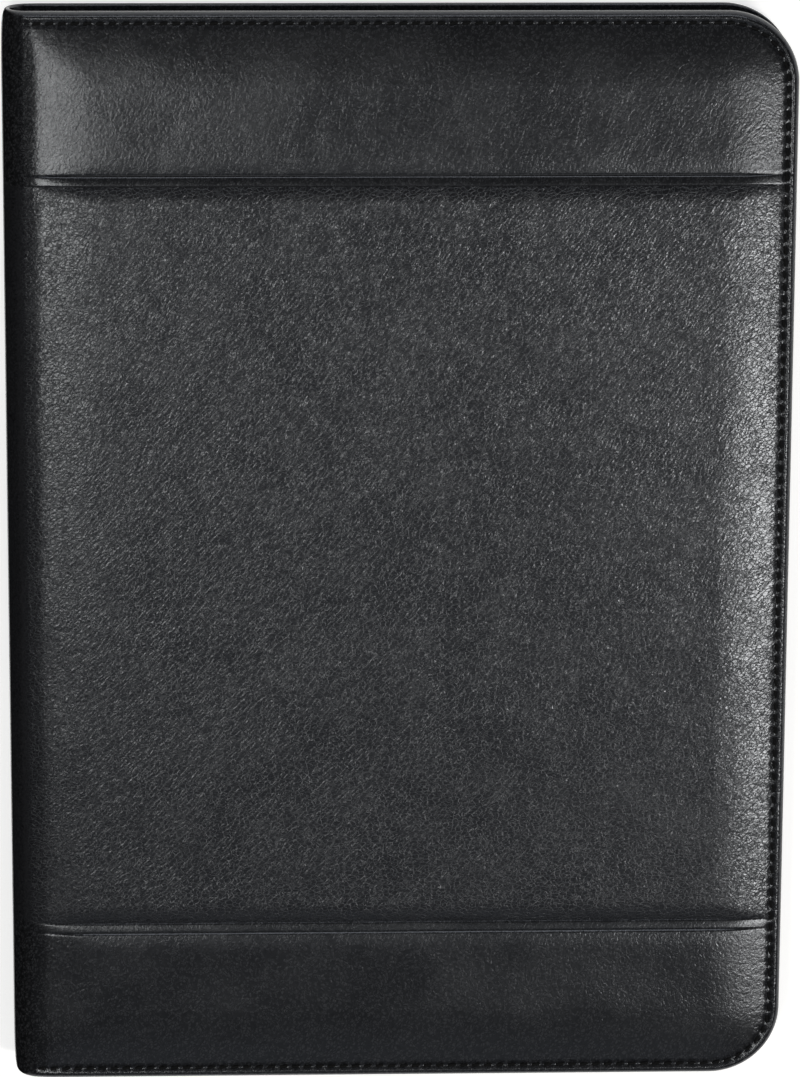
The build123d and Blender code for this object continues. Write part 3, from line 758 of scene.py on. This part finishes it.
def cover_grids(zone):
    """Leather of one zone of the front cover: its turned-in edge, rim and crown, and its flat inside."""
    part = zone_slice(zone)
    places, ways, along = RIM_PLACES[part], RIM_WAYS[part], RIM_ALONG[part]
    rows = []
    for inset, rise in zip(UNDER_INSETS, UNDER_RISES):
        spot = places + inset * ways
        rows.append(np.column_stack([spot, np.full(len(spot), INNER_Z + rise)]))
    for inset in TOP_INSETS:
        spot = places + inset * ways
        rows.append(np.column_stack([spot, cover_height(spot[:, 0], spot[:, 1], inset, along, zone)]))
    x, y = np.meshgrid(XS, ZONE_YS[zone])
    inside = np.stack([x, y, cover_height(x, y, CORNER, 0.0, zone)], axis=-1)
    return [np.array(rows), inside]


# Folds and spine: one curve from the front cover round to the back cover
FOLD_TURN = np.pi / 2 - math.atan(left_slope(COVER_X))
FOLD_RADIUS = (COVER_X - LEFT) / (1 - math.cos(FOLD_TURN))
FOLD_Z = THICK - LEFT_DROP - FOLD_RADIUS * math.sin(FOLD_TURN)
COVER_DEPTH = THICK - LEFT_DROP - INNER_Z


def fold_rows(zone):
    """Rows of a fold or the spine: distance from the nearer end, place along the case, rise if turned in."""
    rows = [(CORNER, y, None) for y in ZONE_YS[zone]]
    end = [(inset, inset - TOP, rise) for inset, rise in zip(UNDER_INSETS, UNDER_RISES)]
    end += [(inset, inset - TOP, None) for inset in TOP_INSETS]
    if zone == "bottom_band":
        rows = end + rows[1:]
    if zone == "top_band":
        rows = rows + [(inset, -y, rise) for inset, y, rise in reversed(end)][1:]
    return rows


def fold_column(turn, base, rows, zone):
    """One line of leather along the case, at a turn round the fold, from the base point outside."""
    level = turn / FOLD_TURN
    way = np.array([math.cos(level * np.pi / 2), -math.sin(level * np.pi / 2)])
    wall = SPINE_INSIDE + (COVER_DEPTH - SPINE_INSIDE) * level
    edge = SPINE_EDGE_ROUND + (EDGE_ROUND - SPINE_EDGE_ROUND) * level
    run = SPINE_EDGE_RUN + (EDGE_ROUND - SPINE_EDGE_RUN) * level
    column = []
    for inset, y, rise in rows:
        if rise is None:
            seam = valley(y, zone) * (SPINE_VALLEY + (1 - SPINE_VALLEY) * level)
            sewn = stitch_relief(inset, RIM_ALONG[0]) * SPINE_SEWN * level
            depth = combined(crown(inset), LEFT_DROP, seam) - LEFT_DROP + roll(inset, edge, run) - sewn
        else:
            depth = wall - rise
        x, z = base + depth * way
        column.append((x, y, z))
    return column


def fold_grids(zone):
    """Leather of one zone of the front fold."""
    rows = fold_rows(zone)
    columns = []
    for turn in FOLD_TURN * (1 - np.linspace(0, 1, FOLD_COLUMNS) ** FOLD_GRADE):
        base = np.array([LEFT + FOLD_RADIUS * (1 - math.cos(turn)), FOLD_Z + FOLD_RADIUS * math.sin(turn)])
        columns.append(fold_column(turn, base, rows, zone))
    return [np.array(columns)]


def spine_grids(zone):
    """Leather of one zone of the spine."""
    rows = fold_rows(zone)
    return [np.array([fold_column(0.0, np.array([LEFT, z]), rows, zone)
                      for z in np.linspace(FOLD_Z, THICK - FOLD_Z, SPINE_COLUMNS)])]


def leather_piece(name, grids, zone, outward):
    """A leather piece of one zone."""
    _, _, material, slot = ZONES[zone]
    piece = grid_piece(name, grids, material, outward, LEATHER)
    return piece


def cover_leather(side, zone):
    """Leather of one zone of a cover; the centre panel's hides the foam under it too."""
    grids = on_cover(side, cover_grids(zone))
    piece = leather_piece(f"{side}_{zone}_leather", grids, zone, (0, 0, OUTWARD[side]))
    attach(piece, f"{side}_cover")
    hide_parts(f"{side}_{zone}")
    if zone == "center_panel":
        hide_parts(f"{side}_foam")


def spine_leather(zone):
    """Leather of one zone of the spine and of its two folds."""
    wall = leather_piece(f"spine_{zone}_leather", spine_grids(zone), zone, (-1, 0, 0))
    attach(wall, "spine")
    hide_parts(f"spine_{zone}")
    grids = fold_grids(zone)
    front = leather_piece(f"front_fold_{zone}", grids, zone, (-1, 0, 1))
    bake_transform(front)
    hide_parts("front_fold_leather")
    back = leather_piece(f"back_fold_{zone}", on_cover("back", grids), zone, (-1, 0, -1))
    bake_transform(back)
    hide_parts("back_fold_leather")


for zone_name in ZONES:
    for side_name in OUTWARD:
        cover_leather(side_name, zone_name)
    spine_leather(zone_name)


# Stitches
def stitch_spans(length, pitch, gap, points):
    """Lengths along each stitch of a row, with a gap between one stitch and the next."""
    return [np.linspace(index * pitch + gap / 2, (index + 1) * pitch - gap / 2, points)
            for index in range(int(length / pitch))]


def thread_tubes(lines, thread):
    """Grids of round tubes along short lines of points, drawn in at their ends."""
    grids = []
    turns = np.linspace(0, 2 * np.pi, THREAD_SIDES + 1)
    for line in lines:
        heading = np.gradient(line, axis=0)
        heading /= np.linalg.norm(heading, axis=1)[:, None]
        side = np.cross(heading, (0, 0, 1.0))
        side /= np.linalg.norm(side, axis=1)[:, None]
        up = np.cross(side, heading)
        reach = np.linspace(-1, 1, len(line))
        radius = thread * np.sqrt(np.clip(1 - reach ** THREAD_END_POWER, 0, 1)) + THREAD_TIP
        ring = np.cos(turns)[None, :, None] * side[:, None] + np.sin(turns)[None, :, None] * up[:, None]
        grids.append(line[:, None] + radius[:, None, None] * ring)
    return grids


def zone_of(y):
    """Zone of a cover at a place along the case."""
    return next(zone for zone, ys in ZONE_YS.items() if y <= ys[-1] or zone == "top_band")


def rim_stitch_lines():
    """Lines of the stitches along the sewn rim of the front cover."""
    sewn = RIM_PLACES + STITCH_INSET * RIM_WAYS
    reach = np.linspace(-1, 1, STITCH_POINTS)
    lines = []
    for span in stitch_spans(RIM_ALONG[-1], STITCH_PITCH, STITCH_GAP, STITCH_POINTS):
        way = at_lengths(span, RIM_ALONG, RIM_WAYS)
        spot = at_lengths(span, RIM_ALONG, sewn) + way * (reach * STITCH_SLANT)[:, None]
        bed = np.array([cover_height(x, y, STITCH_INSET, s, zone_of(y)) for (x, y), s in zip(spot, span)])
        lines.append(np.column_stack([spot, bed + STITCH_RISE - STITCH_SINK * reach ** STITCH_END_POWER]))
    return lines


STITCH_GRIDS = thread_tubes(rim_stitch_lines(), THREAD)
for side_name in OUTWARD:
    stitches = grid_piece(f"{side_name}_rim_stitches", on_cover(side_name, STITCH_GRIDS), THREADS)
    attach(stitches, f"{side_name}_cover")


# Cloth inside: linings, pockets, pen loop and zip tapes
def graded(count):
    """Places from 0 to 1, closer together towards both ends."""
    even = np.linspace(0, 1, count)
    return even - CLOTH_GRADE * np.sin(2 * np.pi * even) / (2 * np.pi)


def drawn_in(y, low, high, radii):
    """How far a panel's side draws in at its lower and upper rounded corners."""
    total = np.zeros_like(y)
    for radius, away in zip(radii, (y - low, high - y)):
        out = np.clip(radius - away, 0, radius)
        total = total + radius - np.sqrt(radius ** 2 - out ** 2)
    return total


def dipped(x, low, high, dip):
    """Fall of a panel's top edge, which dips towards its middle."""
    from_middle = (2 * x - low.x - high.x) / (high.x - low.x)
    return dip * (1 - from_middle ** 2)


def panel_plan(low, high, left_radii, right_radii, dip):
    """Places over a cloth panel: x, y, the distance from its sewn edges and from its top edge."""
    columns = round((high.x - low.x) / CLOTH_STEP) + CLOTH_EXTRA
    rows = round((high.y - low.y) / CLOTH_STEP) + CLOTH_EXTRA
    u, v = np.meshgrid(graded(columns), graded(rows))
    y = low.y + v * (high.y - low.y)
    left = low.x + drawn_in(y, low.y, high.y, left_radii)
    right = high.x - drawn_in(y, low.y, high.y, right_radii)
    x = left + u * (right - left)
    fall = dipped(x, low, high, dip)
    y = y - v * fall
    sewn = np.minimum(np.minimum(x - left, right - x), y - low.y)
    return x, y, sewn, high.y - fall - y


def cloth_piece(name, x, y, z, material, body, up):
    """A cloth panel on a cover, facing up or down, of the cloth's thickness."""
    piece = grid_piece(name, [np.stack([x, y, z], axis=-1)], material, (0, 0, up), CLOTH)
    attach(piece, body)
    return piece


def lining(side):
    """Lining of a cover, turned under at its edge, apart from the side at the spine."""
    up = -OUTWARD[side]
    low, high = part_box(f"{side}_lining")
    face = low.z if up < 0 else high.z
    radius = CORNER - LINING_INSET
    x, y, sewn, to_top = panel_plan(low, high, (0.0, 0.0), (radius, radius), 0.0)
    from_turned = np.minimum(np.where(x - low.x < sewn + ROUNDING, FAR, sewn), to_top)
    turned = LINING_EDGE * (1 - share(from_turned / LINING_EDGE_RUN))
    z = face + up * (CLOTH_WAVE * waves(x, y) - turned)
    piece = cloth_piece(f"{side}_lining_cloth", x, y, z, LINING, f"{side}_cover", up)
    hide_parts(f"{side}_lining")


def dashes(route, lift):
    """Lines of the stitches along a route of points on the cloth."""
    route_lengths = lengths(route)
    rise = lift * (1 - np.linspace(-1, 1, CLOTH_STITCH_POINTS) ** STITCH_END_POWER)
    lines = []
    for span in stitch_spans(route_lengths[-1], CLOTH_STITCH, CLOTH_STITCH_GAP, CLOTH_STITCH_POINTS):
        line = at_lengths(span, route_lengths, route)
        line[:, 2] += rise
        lines.append(line)
    return lines


def seam_route(low, high, dip):
    """Places of a pocket's seam: down one side, along the bottom and up the other side."""
    ys = np.linspace(high.y - dip * SEAM_START, low.y + POCKET_CORNER, SEAM_POINTS)
    left = np.stack([np.full(SEAM_POINTS, low.x + SEAM_INSET), ys], axis=1)
    turn = np.linspace(0, np.pi / 2, SEAM_CORNER_POINTS)
    inner = POCKET_CORNER - SEAM_INSET
    corner = POCKET_CORNER - inner * np.stack([np.cos(turn), np.sin(turn)], axis=1) + (low.x, low.y)
    half = np.concatenate([left, corner])
    other = np.stack([low.x + high.x - half[::-1, 0], half[::-1, 1]], axis=1)
    return np.concatenate([half, other])


def hem_route(low, high, dip):
    """Places of the seam that holds a pocket's hem."""
    x = np.linspace(low.x + SEWN_RUN, high.x - SEWN_RUN, HEM_POINTS)
    return np.stack([x, high.y - dipped(x, low, high, dip) - HEM + HEM_SEAM], axis=1)


def pocket(node_name, hem_name, side, base, dip, room=0.0):
    """A pocket sewn to a cover along its sides and bottom, with a hemmed top edge."""
    up = -OUTWARD[side]
    low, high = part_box(node_name)
    outer = low.z if up < 0 else high.z
    depth = abs(outer - base) - HEM_RISE - room

    def surface(x, y, sewn, to_top):
        """Height of the pocket's cloth."""
        free = share(sewn / SEWN_RUN)
        lift = SEWN_LIFT + (depth - SEWN_LIFT) * free
        hem = HEM_RISE * share((HEM - to_top) / HEM_EDGE) * free
        return base + up * (lift + hem + CLOTH_WAVE * waves(x, y) * free)

    x, y, sewn, to_top = panel_plan(low, high, (POCKET_CORNER, 0.0), (POCKET_CORNER, 0.0), dip)
    piece = cloth_piece(f"{node_name}_cloth", x, y, surface(x, y, sewn, to_top), POCKET,
                        f"{side}_cover", up)
    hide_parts(node_name, hem_name)

    lines = []
    for route, sewn, to_top in ((seam_route(low, high, dip), SEAM_INSET, FAR),
                                (hem_route(low, high, dip), FAR, HEM - HEM_SEAM)):
        bed = surface(route[:, 0], route[:, 1], sewn, to_top)
        lines += dashes(np.column_stack([route, bed]), up * CLOTH_THREAD)
    stitched = grid_piece(f"{node_name}_stitches", thread_tubes(lines, CLOTH_THREAD), THREADS)
    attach(stitched, f"{side}_cover")


def spine_lining():
    """Lining of the spine, and its slack where it turns to the covers."""
    inside = LEFT + SPINE_INSIDE
    reach = COVER_X - inside
    ys = spread(SPINE_LINING_INSET - TOP, TOP - SPINE_LINING_INSET, CLOTH_STEP)
    z, y = np.meshgrid(np.linspace(INNER_Z - reach, THICK - INNER_Z + reach, SPINE_LINING_ROWS), ys)
    x = inside + SPINE_LINING_WAVE * waves(z * SPINE_LINING_CROWDING, y)
    wall = grid_piece("spine_lining_cloth", [np.stack([x, y, z], axis=-1)], LINING, (1, 0, 0), CLOTH)
    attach(wall, "spine")
    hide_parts("spine_lining")

    turn, y = np.meshgrid(np.linspace(0, np.pi / 2, FOLD_LINING_ROWS), ys)
    radius = reach + LINING_SLACK * np.sin(2 * turn)
    grids = [np.stack([COVER_X - radius * np.sin(turn), y, INNER_Z - reach + radius * np.cos(turn)], axis=-1)]
    front = grid_piece("front_fold_lining_cloth", grids, LINING, (1, 0, -1), CLOTH)
    back = grid_piece("back_fold_lining_cloth", on_cover("back", grids), LINING, (1, 0, 1), CLOTH)
    for piece, name in ((front, "front_fold_lining"), (back, "back_fold_lining")):
        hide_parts(name)
    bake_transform(front)
    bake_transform(back)


def pen_loop():
    """Elastic band round the pen, flat where it is sewn to the lining."""
    low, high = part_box("pen_loop")
    outer = (high.x - low.x) / 2
    turn, y = np.meshgrid(np.linspace(0, 2 * np.pi, LOOP_POINTS), spread(low.y, high.y, LOOP_STEP))
    radius = outer - LOOP_PULL + LOOP_PULL * np.cos(2 * np.pi * y / (high.y - low.y))
    x = (low.x + high.x) / 2 + radius * np.cos(turn)
    z = np.maximum(low.z + outer + radius * np.sin(turn), low.z + LOOP_LIFT)
    piece = grid_piece("pen_loop_band", [np.stack([x, y, z], axis=-1)], ELASTIC, None, LOOP_BAND)
    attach(piece, "back_cover")
    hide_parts("pen_loop")


def zip_tape(side, start):
    """Woven tape that stands on the board round a cover, with the teeth on its edge."""
    low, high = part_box(f"{side}_zip_tape")
    spot = RIM_PLACES + TAPE_INSET * RIM_WAYS
    before = (RIM_WAYS[:, 1] > TAPE_STRAIGHT) & (spot[:, 0] < start)
    kept = ~before & (spot[:, 0] >= low.x)
    spot, ways, along = spot[kept], RIM_WAYS[kept], RIM_ALONG[kept]
    rows = []
    for level in np.linspace(0, 1, TAPE_ROWS):
        sway = TAPE_WAVE * np.sin(2 * np.pi * along / TAPE_WAVE_LENGTH) * np.sin(np.pi * level)
        height = np.full(len(spot), low.z + level * (high.z - low.z))
        rows.append(np.column_stack([spot + sway[:, None] * ways, height]))
    piece = grid_piece(f"{side}_zip_tape_cloth", [np.array(rows)], TAPE, (1, 0, 0), TAPE_CLOTH, offset=0.0)
    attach(piece, f"{side}_cover")
    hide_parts(f"{side}_zip_tape")


for side_name in OUTWARD:
    lining(side_name)
pocket("document_pocket", "document_pocket_hem", "front", INNER_Z, POCKET_DIP)
pocket("upper_card_pocket", "upper_card_hem", "front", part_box("document_pocket")[0].z, CARD_DIP)
pocket("lower_card_pocket", "lower_card_hem", "front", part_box("upper_card_pocket")[0].z, CARD_DIP)
pocket("pad_sleeve", "pad_sleeve_hem", "back", THICK - INNER_Z, POCKET_DIP, SLEEVE_ROOM)
spine_lining()
pen_loop()
zip_tape("front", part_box("front_zip_stop")[0].x)
zip_tape("back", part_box("back_zip_tape")[0].x)

# CAD pieces that stay
KEPT = {
    "front_board": BOARD, "back_board": BOARD, "spine_board": BOARD, "pad_card": CARD, "paper_block": PAPER,
    "pad_header": HEADER, "front_zip_teeth": TEETH, "back_zip_teeth": TEETH, "front_zip_stop": METAL,
    "back_zip_stops": METAL, "slider_body": METAL, "slider_bridge": METAL, "pull_tab": METAL,
}
for kept_name, kept_material in KEPT.items():
    kept_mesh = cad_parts[kept_name].data
    kept_mesh.materials.clear()
    kept_mesh.materials.append(kept_material)


# Stage
def add_floor():
    """Pale floor, which glows for the camera and for reflections but doesn't light the object."""
    material, tree, shader, _ = new_material("floor")
    shader.inputs["Base Color"].default_value = FLOOR_GREY
    shader.inputs["Roughness"].default_value = FLOOR_ROUGHNESS
    shader.inputs["Emission Color"].default_value = WHITE
    rays = tree.nodes.new("ShaderNodeLightPath").outputs
    seen = math_node(tree, "MAXIMUM", rays["Is Camera Ray"], rays["Is Glossy Ray"])
    seen = math_node(tree, "MAXIMUM", seen, rays["Is Transmission Ray"])
    tree.links.new(math_node(tree, "MULTIPLY", seen, FLOOR_GLOW), shader.inputs["Emission Strength"])
    bpy.ops.mesh.primitive_plane_add(size=FLOOR_SIZE)
    floor = bpy.context.object
    floor.name = "floor"
    floor.data.materials.append(material)


def add_surroundings():
    """White horizon under a dark ceiling."""
    world = bpy.data.worlds.new("studio")
    world.use_nodes = True
    bpy.context.scene.world = world
    tree = world.node_tree
    height = split(tree, coordinates(tree, "Generated"))[2]
    shade = mixed(tree, ramp(tree, height, CEILING_RISE), HORIZON, CEILING)
    tree.links.new(shade, tree.nodes["Background"].inputs["Color"])


def facing_origin(spot):
    """Turn of a light that faces the origin with its long side along the case."""
    out = spot.normalized()
    along = (Vector((0, 1, 0)) - out * out.y).normalized()
    return Matrix((along.cross(out), along, out)).transposed().to_euler()


def add_light(name, spot, size, watts, colour):
    """A soft rectangular light that faces the object."""
    data = bpy.data.lights.new(name, "AREA")
    data.shape = "RECTANGLE"
    data.size, data.size_y = size
    data.energy = watts
    data.color = colour
    lamp = bpy.data.objects.new(name, data)
    lamp.location = spot
    lamp.rotation_euler = facing_origin(Vector(spot))
    bpy.context.scene.collection.objects.link(lamp)


def add_camera():
    """Camera at the photograph's viewing angle."""
    data = bpy.data.cameras.new("camera")
    data.lens = CAMERA_LENS
    data.sensor_width = SENSOR
    camera = bpy.data.objects.new("camera", data)
    camera.location = CAMERA_AT
    camera.rotation_euler = [math.radians(turn) for turn in CAMERA_TURN]
    bpy.context.scene.collection.objects.link(camera)
    bpy.context.scene.camera = camera


add_floor()
add_surroundings()
for light_name, light in LIGHTS.items():
    add_light(light_name, *light)
add_camera()
bpy.context.scene.view_settings.view_transform = "Standard"
